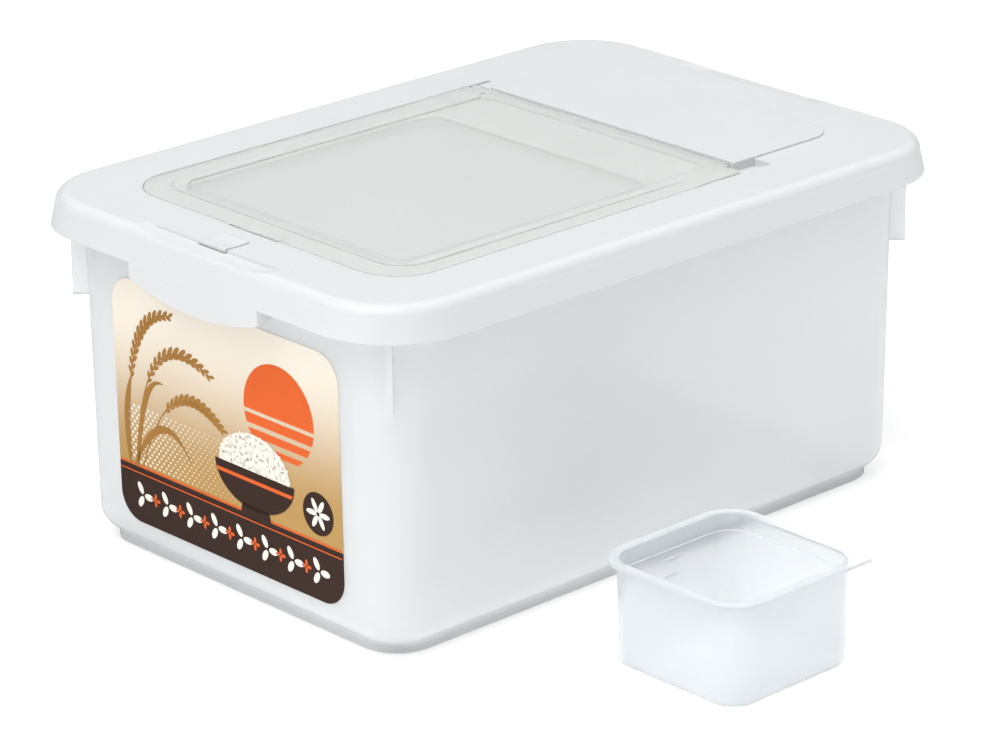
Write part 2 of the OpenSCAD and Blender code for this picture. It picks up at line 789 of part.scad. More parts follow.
module label() {
    wall_y = tub_y - rim_z * draft_rate; // the wall's line carried down to the floor
    mid_z = label_z + label_height / 2;
    color([0.93, 0.85, 0.68])
        translate([0, -wall_y, 0])
            rotate([label_tilt, 0, 0])
                translate([0, -glue, mid_z])
                    rotate([90, 0, 0])
                        linear_extrude(label_thick)
                            plan(tub_x - label_side_margin, label_height / 2, label_corner_r);
}

// ---- measuring cup ----

module cup_section(inset, z_top) {
    arc = cup_edge_r - inset;
    r_arc = cup_corner_r - inset - (cup_h - cup_edge_r) * cup_rate;
    r_top = cup_corner_r - inset - (cup_h - z_top) * cup_rate;
    polygon([[0, cup_edge_r], [r_arc, cup_edge_r], [r_top, z_top], [0, z_top]]);
    translate([0, inset])
        square([r_arc - arc, cup_edge_r - inset]);
    intersection() {
        translate([r_arc - arc, cup_edge_r])
            circle(arc);
        square([cup_corner_r, cup_edge_r + arc]);
    }
}

module measuring_cup() {
    flange = cup_width / 2 + cup_flange;
    flange_r = cup_corner_r + cup_flange;
    tip_r = 1.5;
    ledge = 0.4; // the step in the wall at the fill line
    wide_r = cup_corner_r - cup_wall + ledge;
    mark_z = [12, 19, 26, 33];
    mark_size = [7, 0.6, 0.5];
    color([0.95, 0.96, 0.97, 0.5])
        translate([cup_x, cup_y, 0]) {
            difference() {
                union() {
                    swept(cup_cx, cup_cx, 0, cup_h)
                        cup_section(0, cup_h);
                    plate(flange, flange, flange_r, cup_top_z, cup_h);
                    // the pouring corner
                    translate([cup_cx, cup_cx, cup_top_z])
                        cube([flange - cup_cx - tip_r, flange - cup_cx, cup_flange_thick]);
                    translate([cup_cx, cup_cx, cup_top_z])
                        cube([flange - cup_cx, flange - cup_cx - tip_r, cup_flange_thick]);
                    translate([flange - tip_r, flange - tip_r, cup_top_z])
                        cylinder(h = cup_flange_thick, r = tip_r);
                }
                swept(cup_cx, cup_cx, cup_wall, cup_h + over)
                    cup_section(cup_wall, cup_h + over);
                plate(cup_cx + wide_r, cup_cx + wide_r, wide_r, cup_h - fill_line_depth, cup_h + over);
            }
            // graduation lines on the inside
            for (z = mark_z)
                translate([-cup_width / 2 + cup_wall / 2, -mark_size.x / 2, z])
                    cube([cup_wall / 2 + mark_size.z + cup_draft, mark_size.x, mark_size.y]);
        }
}

tub();
lid_frame();
flap();
press_tab();
label();
measuring_cup();
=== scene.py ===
"""Rice bin with a flip lid and a measuring cup: finishes, printed label and stage.

Lengths are in metres. The bin stands on z = 0 with its labelled front towards -Y.
"""

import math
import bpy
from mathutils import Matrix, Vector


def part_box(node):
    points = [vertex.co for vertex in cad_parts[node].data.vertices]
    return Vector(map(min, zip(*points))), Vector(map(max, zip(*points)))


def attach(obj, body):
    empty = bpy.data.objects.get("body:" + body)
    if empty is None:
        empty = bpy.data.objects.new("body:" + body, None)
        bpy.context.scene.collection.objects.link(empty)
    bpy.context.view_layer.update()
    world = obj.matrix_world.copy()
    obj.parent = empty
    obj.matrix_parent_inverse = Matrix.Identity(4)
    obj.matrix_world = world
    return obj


bl_info = {
    "name": "Rice bin with flip lid",
    "version": (1, 0, 0),
    "blender": (4, 5, 0),
    "location": "3D View > Sidebar > Rice bin",
    "description": "Finishes, printed label and stage for a rice bin",
    "category": "Object",
}

import bmesh
import bpy
from bpy.props import FloatProperty, FloatVectorProperty, IntProperty, PointerProperty
from mathutils import Matrix, Vector

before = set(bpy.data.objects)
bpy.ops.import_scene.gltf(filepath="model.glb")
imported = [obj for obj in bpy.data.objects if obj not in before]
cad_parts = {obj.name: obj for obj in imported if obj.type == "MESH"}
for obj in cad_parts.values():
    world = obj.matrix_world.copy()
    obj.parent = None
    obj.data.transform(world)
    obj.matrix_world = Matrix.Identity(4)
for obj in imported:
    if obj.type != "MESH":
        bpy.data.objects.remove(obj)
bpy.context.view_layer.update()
MM = 0.001

# moulded plastics
EDGE_RADIUS = 0.3 * MM  # softening of every edge
GRAIN_DEPTH = 0.05  # height of the mould grain, as a share of its spacing
RIPPLE_DEPTH = 0.004  # height of the ripples, as a share of their spacing
CLOUD_SIZE = 0.7  # spacing of the clouds, as a share of the ripples' spacing
SCUFF_ROUGHNESS = 0.05  # what scuffs add to the roughness
SCATTER_DEPTH = 4 * MM  # how far light scatters inside the opaque plastic

# printed film
DOT_SIZE = 0.4 * MM  # spacing of the fine unevenness of the ink
FILM_WAVES = 0.12 * MM  # height of the slow waves of the film
FILM_ROUGHNESS = (0.30, 0.36)  # where the print is darkest and lightest
FILM_GLOSS = 0.12
INK_THICKNESS = 0.03 * MM  # unless the settings say otherwise

# stage
SENSOR_WIDTH = 36.0
FLOOR_SIZE = 100.0
FLOOR_DROP = 0.4 * MM  # how far the floor lies under the bin
FRONT_SHARE = 0.4  # how much a step to the front counts as one to the near long side
NEAR_SPREAD = 0.2  # half the width over which the floor's light grows from the far value to the near one
SHADE_EDGE = 20 * MM  # width of the shade's soft edge under the bin
WHITE = (1.0, 1.0, 1.0, 1.0)

# kinds of sockets
FLOAT, VECTOR, COUNT = "NodeSocketFloat", "NodeSocketVector", "NodeSocketInt"
GEOMETRY, MATERIAL = "NodeSocketGeometry", "NodeSocketMaterial"


# ---------------------------------------------------------------- settings


class RicebinPlasticSettings(bpy.types.PropertyGroup):
    """Colours and grain of the moulded plastics."""

    tub_tint: FloatVectorProperty(
        name="Tub tint", description="Colour of the frosted tub", subtype="COLOR",
        size=3, min=0, max=1, default=(0.980, 0.995, 1.0),
    )
    lid_white: FloatVectorProperty(
        name="Lid white", description="Colour of the opaque lid", subtype="COLOR",
        size=3, min=0, max=1, default=(0.692, 0.706, 0.712),
    )
    flap_tint: FloatVectorProperty(
        name="Flip lid tint", description="Colour of the translucent flip lid", subtype="COLOR",
        size=3, min=0, max=1, default=(0.935, 0.950, 0.936),
    )
    cup_tint: FloatVectorProperty(
        name="Cup tint", description="Colour of the milky measuring cup", subtype="COLOR",
        size=3, min=0, max=1, default=(0.875, 0.895, 0.912),
    )
    grain_size: FloatProperty(
        name="Grain size", description="Spacing of the fine mould texture",
        unit="LENGTH", min=0.0001, max=0.01, default=0.0009,
    )
    ripple_size: FloatProperty(
        name="Ripple size", description="Spacing of the slow waves left by cooling",
        unit="LENGTH", min=0.005, max=0.2, default=0.045,
    )


class RicebinLabelSettings(bpy.types.PropertyGroup):
    """Colours and layout of the printed label."""

    cream: FloatVectorProperty(
        name="Cream", description="Pale end of the label's ground", subtype="COLOR",
        size=3, min=0, max=1, default=(0.95, 0.88, 0.76),
    )
    gold: FloatVectorProperty(
        name="Gold", description="Deep end of the label's ground", subtype="COLOR",
        size=3, min=0, max=1, default=(0.52, 0.31, 0.10),
    )
    brown: FloatVectorProperty(
        name="Brown", description="Band across the label's foot", subtype="COLOR",
        size=3, min=0, max=1, default=(0.030, 0.009, 0.003),
    )
    orange: FloatVectorProperty(
        name="Orange", description="Accent colour", subtype="COLOR",
        size=3, min=0, max=1, default=(0.80, 0.13, 0.02),
    )
    rice: FloatVectorProperty(
        name="Rice", description="Colour of the printed grains", subtype="COLOR",
        size=3, min=0, max=1, default=(0.93, 0.90, 0.82),
    )
    ochre: FloatVectorProperty(
        name="Ochre", description="Colour of the printed stems and ears", subtype="COLOR",
        size=3, min=0, max=1, default=(0.40, 0.19, 0.035),
    )
    band_height: FloatProperty(
        name="Band height", description="Height of the brown band on the label",
        unit="LENGTH", min=0.005, max=0.06, default=0.0245,
    )
    ink_step: FloatProperty(
        name="Ink step", description="Height of one printed layer above the one below",
        unit="LENGTH", min=0.00001, max=0.0002, default=0.00003,
    )
    grain_count: IntProperty(
        name="Ear density", description="Grains along each printed ear", min=6, max=60, default=26,
    )
    seed: IntProperty(name="Seed", description="Seed of the scattered grains", min=0, max=1000, default=7)


class RicebinStageSettings(bpy.types.PropertyGroup):
    """Camera and lights."""

    azimuth: FloatProperty(
        name="Azimuth", description="Direction of the camera round the bin",
        subtype="ANGLE", default=math.radians(45.479),
    )
    elevation: FloatProperty(
        name="Elevation", description="Height of the camera above the horizon",
        subtype="ANGLE", default=math.radians(20.926),
    )
    distance: FloatProperty(
        name="Distance", description="From the camera to the point it looks at",
        unit="LENGTH", min=0.2, max=10, default=1.835,
    )
    target: FloatVectorProperty(
        name="Target", description="Point that the camera looks at",
        subtype="TRANSLATION", unit="LENGTH", size=3, default=(0.05237, 0.01723, 0.070),
    )
    lens: FloatProperty(
        name="Lens", description="Focal length in millimetres on a 36 mm sensor",
        min=20, max=400, default=159.93,
    )
    shift: FloatProperty(
        name="Shift", description="Sideways shift of the frame, as a share of its width",
        min=-0.5, max=0.5, default=-0.114,
    )
    world_strength: FloatProperty(
        name="Surround", description="Brightness of the white surround",
        min=0, max=4, default=0.675,
    )
    lift: FloatProperty(
        name="Lift", description="How much brighter the surround is overhead",
        min=0, max=4, default=0.89,
    )
    front_fill: FloatProperty(
        name="Front fill", description="How much brighter the surround is in front",
        min=-1, max=4, default=-0.02,
    )
    side_fall: FloatProperty(
        name="Side fall", description="How much darker the surround is on the long sides",
        min=0, max=4, default=1.22,
    )
    least: FloatProperty(
        name="Least", description="Brightness that the surround never falls below",
        min=0, max=4, default=0.1,
    )
    glow: FloatProperty(
        name="Glow", description="White added to the floor where it is seen directly",
        min=0, max=4, default=0.5,
    )
    # the floor's glow is painted bounce light, and its shade is a painted shadow under the bin
    near_glow: FloatProperty(
        name="Near glow", description="Light given off by the floor on the near side",
        min=0, max=4, default=0.885,
    )
    far_glow: FloatProperty(
        name="Far glow", description="Light given off by the floor on the far side",
        min=0, max=4, default=0.1,
    )
    shade: FloatProperty(
        name="Shade", description="Share of that light left under the bin",
        min=0, max=1, default=0.15,
    )
    key_power: FloatProperty(
        name="Key light", description="Power of the large soft light",
        unit="POWER", min=0, max=500, default=24.5,
    )


# ---------------------------------------------------------------- node helpers


def put(tree, socket, value):
    """Links the socket to another node's output, or sets its value."""
    if isinstance(value, bpy.types.NodeSocket):
        tree.links.new(value, socket)
    else:
        socket.default_value = value


def add_node(tree, kind, **values):
    """A node of that kind. Keys that name a socket, with underscores for blanks, feed it; others are attributes."""
    node = tree.nodes.new(kind)
    for key, value in values.items():
        name = key.replace("_", " ")
        if name in node.inputs:
            put(tree, node.inputs[name], value)
        else:
            setattr(node, key, value)
    return node


def math_node(tree, operation, a, b=0.0):
    node = add_node(tree, "ShaderNodeMath", operation=operation)
    for socket, value in zip(node.inputs, (a, b)):
        put(tree, socket, value)
    return node.outputs[0]


def ramp(tree, value, low, high, to_low=0.0, to_high=1.0, kind="SMOOTHSTEP"):
    """Maps value from low..high to to_low..to_high."""
    node = add_node(tree, "ShaderNodeMapRange", interpolation_type=kind, Value=value,
                    From_Min=low, From_Max=high, To_Min=to_low, To_Max=to_high)
    return node.outputs["Result"]


def mix_colour(tree, factor, a, b, blend="MIX"):
    node = add_node(tree, "ShaderNodeMix", data_type="RGBA", blend_type=blend)
    # by number, because the mixes of other kinds have sockets of the same names
    for index, value in ((0, factor), (6, a), (7, b)):
        put(tree, node.inputs[index], (*value[:3], 1.0) if isinstance(value, tuple) else value)
    return node.outputs[2]


def split_xyz(tree, vector):
    return add_node(tree, "ShaderNodeSeparateXYZ", Vector=vector).outputs


def object_place(tree):
    return tree.nodes.new("ShaderNodeTexCoord").outputs["Object"]


def new_tree(name, kind, inputs, outputs):
    """An empty node tree with the given sockets, its input node and its output node."""
    tree = bpy.data.node_groups.new(name, kind)
    for label, socket_type, default in inputs:
        socket = tree.interface.new_socket(label, in_out="INPUT", socket_type=socket_type)
        if default is not None:
            socket.default_value = default
    for label, socket_type in outputs:
        tree.interface.new_socket(label, in_out="OUTPUT", socket_type=socket_type)
    return tree, tree.nodes.new("NodeGroupInput"), tree.nodes.new("NodeGroupOutput")


def moulded_skin_group():
    """Fine mould grain, slow cooling ripples and faint clouding of a moulded wall."""
    name = "moulded_skin"
    if name in bpy.data.node_groups:
        return bpy.data.node_groups[name]
    group, source, sink = new_tree(
        name, "ShaderNodeTree",
        [("Grain Size", FLOAT, 0.9 * MM), ("Ripple Size", FLOAT, 45 * MM),
         ("Grain", FLOAT, 0.3), ("Ripple", FLOAT, 1.0)],
        [("Height", FLOAT), ("Cloud", FLOAT), ("Scuff", FLOAT)],
    )
    ports = source.outputs
    place = object_place(group)

    def noise(size, detail, rough):
        scale = math_node(group, "DIVIDE", 1.0, size)
        return add_node(group, "ShaderNodeTexNoise", Detail=detail, Roughness=rough, Vector=place,
                        Scale=scale).outputs["Fac"]

    def relief(pattern, amount, size, depth):
        return math_node(group, "MULTIPLY", math_node(group, "MULTIPLY", pattern, amount),
                         math_node(group, "MULTIPLY", size, depth))

    grain = relief(noise(ports["Grain Size"], 2.0, 0.5), ports["Grain"], ports["Grain Size"], GRAIN_DEPTH)
    ripple = relief(noise(ports["Ripple Size"], 1.5, 0.4), ports["Ripple"], ports["Ripple Size"], RIPPLE_DEPTH)
    cloud = noise(math_node(group, "MULTIPLY", ports["Ripple Size"], CLOUD_SIZE), 3.0, 0.55)
    put(group, sink.inputs["Height"], math_node(group, "ADD", grain, ripple))
    put(group, sink.inputs["Cloud"], ramp(group, cloud, 0.3, 0.7))
    # scuffs are short thin streaks, the peaks of a stretched noise
    stretch = add_node(group, "ShaderNodeMapping", Vector=place, Scale=(40.0, 9.0, 140.0), Rotation=(0.3, 0.5, 0.9))
    streak = add_node(group, "ShaderNodeTexNoise", Scale=6.0, Detail=2.0, Roughness=0.5,
                      Vector=stretch.outputs["Vector"])
    put(group, sink.inputs["Scuff"], ramp(group, streak.outputs["Fac"], 0.62, 0.72))
    return group


def print_grain_group():
    """The faint uneven ink coverage of a printed film."""
    name = "print_grain"
    if name in bpy.data.node_groups:
        return bpy.data.node_groups[name]
    group, source, sink = new_tree(
        name, "ShaderNodeTree", [("Dot Size", FLOAT, DOT_SIZE), ("Strength", FLOAT, 0.06)],
        [("Shade", FLOAT), ("Height", FLOAT)],
    )
    place = object_place(group)
    fine = add_node(group, "ShaderNodeTexNoise", Detail=1.0, Roughness=0.5, Vector=place,
                    Scale=math_node(group, "DIVIDE", 1.0, source.outputs["Dot Size"])).outputs["Fac"]
    slow = add_node(group, "ShaderNodeTexNoise", Scale=22.0, Detail=2.0, Vector=place).outputs["Fac"]
    both = math_node(group, "ADD", math_node(group, "MULTIPLY", fine, 0.5), math_node(group, "MULTIPLY", slow, 0.5))
    least = math_node(group, "SUBTRACT", 1.0, source.outputs["Strength"])
    put(group, sink.inputs["Shade"], ramp(group, both, 0.35, 0.65, least, 1.0, "LINEAR"))
    put(group, sink.inputs["Height"], math_node(group, "MULTIPLY", slow, FILM_WAVES))
    return group


# ---------------------------------------------------------------- materials


def start_material(name):
    """A new material and its Principled shader."""
    material = bpy.data.materials.new(name)
    material.use_nodes = True
    tree = material.node_tree
    tree.nodes.clear()
    out = tree.nodes.new("ShaderNodeOutputMaterial")
    shader = tree.nodes.new("ShaderNodeBsdfPrincipled")
    put(tree, out.inputs["Surface"], shader.outputs["BSDF"])
    return material, tree, shader


def darker(colour, share):
    return tuple(c * (1.0 - share) for c in colour)


def moulded_plastic(name, tint, clouding, roughness, grain, ripple, transmission=0.0, subsurface=0.0, ior=1.49):
    """Moulded plastic: clouded tint, uneven gloss, mould grain and softened edges."""
    settings = bpy.context.scene.ricebin_plastic
    material, tree, shader = start_material(name)
    skin = add_node(tree, "ShaderNodeGroup", node_tree=moulded_skin_group(), Grain_Size=settings.grain_size,
                    Ripple_Size=settings.ripple_size, Grain=grain, Ripple=ripple).outputs
    put(tree, shader.inputs["Base Color"], mix_colour(tree, skin["Cloud"], tint, darker(tint, clouding)))
    uneven = ramp(tree, skin["Cloud"], 0.0, 1.0, roughness * 0.92, roughness * 1.08)
    scuffed = math_node(tree, "MULTIPLY", skin["Scuff"], SCUFF_ROUGHNESS)
    put(tree, shader.inputs["Roughness"], math_node(tree, "ADD", uneven, scuffed))
    edge = add_node(tree, "ShaderNodeBevel", Radius=EDGE_RADIUS, samples=4)
    bump = add_node(tree, "ShaderNodeBump", Strength=1.0, Distance=1.0, Height=skin["Height"],
                    Normal=edge.outputs["Normal"])
    put(tree, shader.inputs["Normal"], bump.outputs["Normal"])
    shader.inputs["Transmission Weight"].default_value = transmission
    shader.inputs["IOR"].default_value = ior
    if subsurface:
        shader.inputs["Subsurface Weight"].default_value = subsurface
        shader.inputs["Subsurface Radius"].default_value = (1.0, 1.0, 1.0)
        shader.inputs["Subsurface Scale"].default_value = SCATTER_DEPTH
    return material


def print_finish(tree, shader, colour, strength):
    """Gives a printed film its colour, uneven coverage and soft sheen, and returns the print grain's outputs."""
    grain = add_node(tree, "ShaderNodeGroup", node_tree=print_grain_group(), Dot_Size=DOT_SIZE,
                     Strength=strength).outputs
    put(tree, shader.inputs["Base Color"], mix_colour(tree, 1.0, colour, grain["Shade"], "MULTIPLY"))
    put(tree, shader.inputs["Roughness"], ramp(tree, grain["Shade"], 0.9, 1.0, *FILM_ROUGHNESS))
    shader.inputs["Specular IOR Level"].default_value = FILM_GLOSS
    return grain


def ink(name, colour):
    """Printed ink."""
    material, tree, shader = start_material(name)
    print_finish(tree, shader, tuple(colour), 0.08)
    return material


def dress(node, material):
    """Gives a CAD node's object the material."""
    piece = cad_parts[node]
    piece.data.materials.clear()
    piece.data.materials.append(material)


# ---------------------------------------------------------------- geometry node helpers


def geometry_tree(name, inputs):
    """A Geometry Nodes tree for prints: guide, named inputs, ink thickness and material in, geometry out."""
    return new_tree(
        name, "GeometryNodeTree",
        [("Geometry", GEOMETRY, None), *inputs, ("Thickness", FLOAT, INK_THICKNESS), ("Material", MATERIAL, None)],
        [("Geometry", GEOMETRY)],
    )


def combine(tree, x=0.0, y=0.0, z=0.0):
    return add_node(tree, "ShaderNodeCombineXYZ", X=x, Y=y, Z=z).outputs[0]


def finish_tree(tree, geometry, source, sink):
    """Realize Instances, Set Material and the tree's output."""
    real = add_node(tree, "GeometryNodeRealizeInstances", Geometry=geometry)
    painted = add_node(tree, "GeometryNodeSetMaterial", Geometry=real.outputs[0], Material=source.outputs["Material"])
    put(tree, sink.inputs["Geometry"], painted.outputs[0])
    return tree


def grain_shape(tree, length, width, thick, shift=0.5):
    """A flat oval grain along X, from the origin on, or over the origin with no shift."""
    disc = add_node(tree, "GeometryNodeMeshCircle", fill_type="NGON", Vertices=14, Radius=0.5)
    raised = add_node(tree, "GeometryNodeExtrudeMesh", Mesh=disc.outputs[0], Offset_Scale=1.0, Individual=False)
    return add_node(tree, "GeometryNodeTransform", Geometry=raised.outputs["Mesh"],
                    Translation=combine(tree, math_node(tree, "MULTIPLY", length, shift)),
                    Scale=combine(tree, length, width, thick)).outputs[0]


def turned(tree, angle):
    """A rotation about Z."""
    return add_node(tree, "FunctionNodeEulerToRotation", Euler=combine(tree, 0.0, 0.0, angle)).outputs[0]


def placed(tree, points, instance, **turn_and_size):
    return add_node(tree, "GeometryNodeInstanceOnPoints", Points=points, Instance=instance, **turn_and_size).outputs[0]


def joined(tree, *parts):
    node = tree.nodes.new("GeometryNodeJoinGeometry")
    for part in parts:
        put(tree, node.inputs[0], part)
    return node.outputs[0]


def direction_angle(tree, vector):
    """The angle of a vector's plan direction."""
    axes = split_xyz(tree, vector)
    return math_node(tree, "ARCTAN2", axes["Y"], axes["X"])


def grown_mesh(name, tree, guide=None, **values):
    """The plain mesh that a tree grows, from a guide mesh or from nothing."""
    holder = bpy.data.objects.new(name, guide or bpy.data.meshes.new(name + "_guide"))
    bpy.context.scene.collection.objects.link(holder)
    modifier = holder.modifiers.new("grow", "NODES")
    modifier.node_group = tree
    sockets = {item.name: item.identifier for item in tree.interface.items_tree
               if item.item_type == "SOCKET" and item.in_out == "INPUT"}
    for key, value in values.items():
        modifier[sockets[key.replace("_", " ")]] = value
    graph = bpy.context.evaluated_depsgraph_get()
    mesh = bpy.data.meshes.new_from_object(holder.evaluated_get(graph))
    bpy.data.objects.remove(holder)
    if not mesh.polygons:
        raise RuntimeError("nothing grew for " + name)
    return mesh


def ear_tree():
    """A printed ear of rice: a stem along a bent path with grains on alternate sides."""
    tree, source, sink = geometry_tree("rice_ear", [
        ("Start", VECTOR, None), ("Bend", VECTOR, None), ("End", VECTOR, None), ("Stem Width", FLOAT, 0.6 * MM),
        ("Grain Length", FLOAT, 4 * MM), ("Grain Width", FLOAT, 1.8 * MM), ("Grain Count", COUNT, 26),
        ("Spread", FLOAT, 0.45), ("Bare Share", FLOAT, 0.5)])
    ports = source.outputs
    path = add_node(tree, "GeometryNodeCurveQuadraticBezier", Resolution=40, Start=ports["Start"],
                    Middle=ports["Bend"], End=ports["End"]).outputs[0]
    # the stem is a tube pressed flat to the ink's thickness
    profile = add_node(tree, "GeometryNodeCurvePrimitiveCircle", mode="RADIUS", Resolution=8,
                       Radius=math_node(tree, "MULTIPLY", ports["Stem Width"], 0.5))
    tube = add_node(tree, "GeometryNodeCurveToMesh", Curve=path, Profile_Curve=profile.outputs[0], Fill_Caps=True)
    flat = math_node(tree, "DIVIDE", ports["Thickness"], ports["Stem Width"])
    rise = math_node(tree, "MULTIPLY", ports["Thickness"], 0.5)
    stem = add_node(tree, "GeometryNodeTransform", Geometry=tube.outputs[0], Scale=combine(tree, 1.0, 1.0, flat),
                    Translation=combine(tree, 0.0, 0.0, rise)).outputs[0]
    # the grains lean out to either side in turn, and are largest halfway along the ear
    outer = add_node(tree, "GeometryNodeTrimCurve", mode="FACTOR", Curve=path, Start=ports["Bare Share"])
    beads = add_node(tree, "GeometryNodeResampleCurve", Curve=outer.outputs[0], Count=ports["Grain Count"])
    tangent = tree.nodes.new("GeometryNodeInputTangent").outputs[0]
    index = tree.nodes.new("GeometryNodeInputIndex").outputs[0]
    side = math_node(tree, "SUBTRACT", math_node(tree, "MULTIPLY", math_node(tree, "MODULO", index, 2.0), 2.0), 1.0)
    lean = math_node(tree, "MULTIPLY", side, ports["Spread"])
    angle = math_node(tree, "ADD", direction_angle(tree, tangent), lean)
    along = tree.nodes.new("GeometryNodeSplineParameter").outputs["Factor"]
    arch = math_node(tree, "SINE", math_node(tree, "MULTIPLY", along, math.pi))
    swell = math_node(tree, "ADD", 0.72, math_node(tree, "MULTIPLY", 0.4, arch))
    grain = grain_shape(tree, ports["Grain Length"], ports["Grain Width"], ports["Thickness"])
    grains = placed(tree, beads.outputs[0], grain, Rotation=turned(tree, angle),
                    Scale=combine(tree, swell, swell, 1.0))
    return finish_tree(tree, joined(tree, stem, grains), source, sink)


def heap_tree():
    """Printed grains scattered over the guide's faces."""
    tree, source, sink = geometry_tree("rice_heap", [
        ("Distance", FLOAT, 1 * MM), ("Grain Length", FLOAT, 3 * MM), ("Grain Width", FLOAT, 1.4 * MM),
        ("Seed", COUNT, 7)])
    ports = source.outputs
    spread = add_node(tree, "GeometryNodeDistributePointsOnFaces", distribute_method="POISSON", Mesh=ports["Geometry"],
                      Distance_Min=ports["Distance"], Density_Max=3.0e6, Seed=ports["Seed"])
    angle = add_node(tree, "FunctionNodeRandomValue", data_type="FLOAT", Seed=ports["Seed"])
    least, most = [socket for socket in angle.inputs if socket.type == "VALUE"][:2]
    least.default_value, most.default_value = 0.0, math.tau
    value = next(socket for socket in angle.outputs if socket.type == "VALUE")
    grain = grain_shape(tree, ports["Grain Length"], ports["Grain Width"], ports["Thickness"], 0.0)
    grains = placed(tree, spread.outputs["Points"], grain, Rotation=turned(tree, value))
    return finish_tree(tree, grains, source, sink)


def row_tree():
    """A printed row of flowers whose petals are grains."""
    tree, source, sink = geometry_tree("flower_row", [
        ("First", VECTOR, None), ("Step", VECTOR, None), ("Count", COUNT, 9), ("Petals", COUNT, 3),
        ("Grain Length", FLOAT, 4.5 * MM), ("Grain Width", FLOAT, 2.4 * MM)])
    ports = source.outputs
    ring = add_node(tree, "GeometryNodeMeshCircle", fill_type="NONE", Vertices=ports["Petals"],
                    Radius=math_node(tree, "MULTIPLY", ports["Grain Length"], 0.12))
    place = tree.nodes.new("GeometryNodeInputPosition").outputs[0]
    grain = grain_shape(tree, ports["Grain Length"], ports["Grain Width"], ports["Thickness"])
    flower = placed(tree, ring.outputs[0], grain, Rotation=turned(tree, direction_angle(tree, place)))
    line = add_node(tree, "GeometryNodeMeshLine", mode="OFFSET", Count=ports["Count"], Start_Location=ports["First"],
                    Offset=ports["Step"])
    return finish_tree(tree, placed(tree, line.outputs[0], flower), source, sink)


def dots_tree():
    """A printed field of dots that shrink along X, with every other row set half a pitch along."""
    tree, source, sink = geometry_tree("dot_field", [
        ("Width", FLOAT, 60 * MM), ("Height", FLOAT, 30 * MM), ("Columns", COUNT, 20), ("Rows", COUNT, 10),
        ("Dot", FLOAT, 1.6 * MM)])
    ports = source.outputs
    grid = add_node(tree, "GeometryNodeMeshGrid", Size_X=ports["Width"], Size_Y=ports["Height"],
                    Vertices_X=ports["Columns"], Vertices_Y=ports["Rows"])
    index = tree.nodes.new("GeometryNodeInputIndex").outputs[0]
    odd = math_node(tree, "MODULO", math_node(tree, "MODULO", index, ports["Rows"]), 2.0)
    pitch = math_node(tree, "DIVIDE", ports["Width"], math_node(tree, "SUBTRACT", ports["Columns"], 1.0))
    slide = combine(tree, math_node(tree, "MULTIPLY", odd, math_node(tree, "MULTIPLY", pitch, 0.5)))
    moved = add_node(tree, "GeometryNodeSetPosition", Geometry=grid.outputs[0], Offset=slide)
    place = split_xyz(tree, tree.nodes.new("GeometryNodeInputPosition").outputs[0])
    half = math_node(tree, "MULTIPLY", ports["Width"], 0.5)
    size = ramp(tree, place["X"], math_node(tree, "MULTIPLY", half, -1.0), half, 1.0, 0.12, "LINEAR")
    dot = grain_shape(tree, ports["Dot"], ports["Dot"], ports["Thickness"], 0.0)
    dots = placed(tree, moved.outputs[0], dot, Scale=combine(tree, size, size, 1.0))
    return finish_tree(tree, dots, source, sink)


# ---------------------------------------------------------------- print helpers


def disc_band(x, y, radius, low, high, steps=48):
    """Outline of the part of a disc between two heights, given from its middle. Points on its axis aren't doubled."""
    start, end = math.asin(low / radius), math.asin(high / radius)
    turns = [start + (end - start) * i / steps for i in range(steps + 1)]
    right = [(x + radius * math.cos(a), y + radius * math.sin(a)) for a in turns]
    return right + [(2 * x - px, py) for px, py in reversed(right) if abs(px - x) > 1e-7]


def half_oval(x, y, wide, tall, steps=48):
    """Outline of half an oval on a level base; a negative height hangs below it."""
    turns = [math.pi * i / steps for i in range(steps + 1)]
    points = [(x + wide * math.cos(a), y + tall * math.sin(a)) for a in turns]
    return points if tall > 0 else points[::-1]


def blade(start, bend, end, width, steps=24):
    """Outline of a leaf along a bent path, widest near its middle."""
    left, right = [], []
    for i in range(steps + 1):
        t = i / steps
        x = (1 - t) ** 2 * start[0] + 2 * t * (1 - t) * bend[0] + t * t * end[0]
        y = (1 - t) ** 2 * start[1] + 2 * t * (1 - t) * bend[1] + t * t * end[1]
        dx = 2 * (1 - t) * (bend[0] - start[0]) + 2 * t * (end[0] - bend[0])
        dy = 2 * (1 - t) * (bend[1] - start[1]) + 2 * t * (end[1] - bend[1])
        size = math.hypot(dx, dy)
        half = width * 0.5 * math.sin(math.pi * (0.12 + 0.88 * t)) if i < steps else 0.0
        left.append((x - dy / size * half, y + dx / size * half))
        right.append((x + dy / size * half, y - dx / size * half))
    return right + left[-2::-1]


def flat_mesh(name, outlines, thick):
    """Thin flat prisms from outlines that run anticlockwise."""
    vertices, faces = [], []
    for outline in outlines:
        first, count = len(vertices), len(outline)
        vertices += [(x, y, z) for z in (0.0, thick) for x, y in outline]
        faces.append([first + i for i in reversed(range(count))])
        faces.append([first + count + i for i in range(count)])
        faces += [[first + i, first + (i + 1) % count, first + count + (i + 1) % count, first + count + i]
                  for i in range(count)]
    mesh = bpy.data.meshes.new(name)
    mesh.from_pydata(vertices, [], faces)
    mesh.validate()
    return mesh


def label_plane():
    """The middle of the label's printed face, and its sideways, upward and outward directions."""
    vertices = [v.co.copy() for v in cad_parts["label"].data.vertices]
    low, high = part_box("label")
    top = min((v for v in vertices if v.z > high[2] - 0.5 * MM), key=lambda v: v.y)
    foot = min((v for v in vertices if v.z < low[2] + 0.5 * MM), key=lambda v: v.y)
    up = Vector((0.0, top.y - foot.y, top.z - foot.z)).normalized()
    side = Vector((1.0, 0.0, 0.0))
    out = side.cross(up).normalized()
    middle = Vector((0.0, (top.y + foot.y) / 2, (top.z + foot.z) / 2))
    return middle, side, up, out


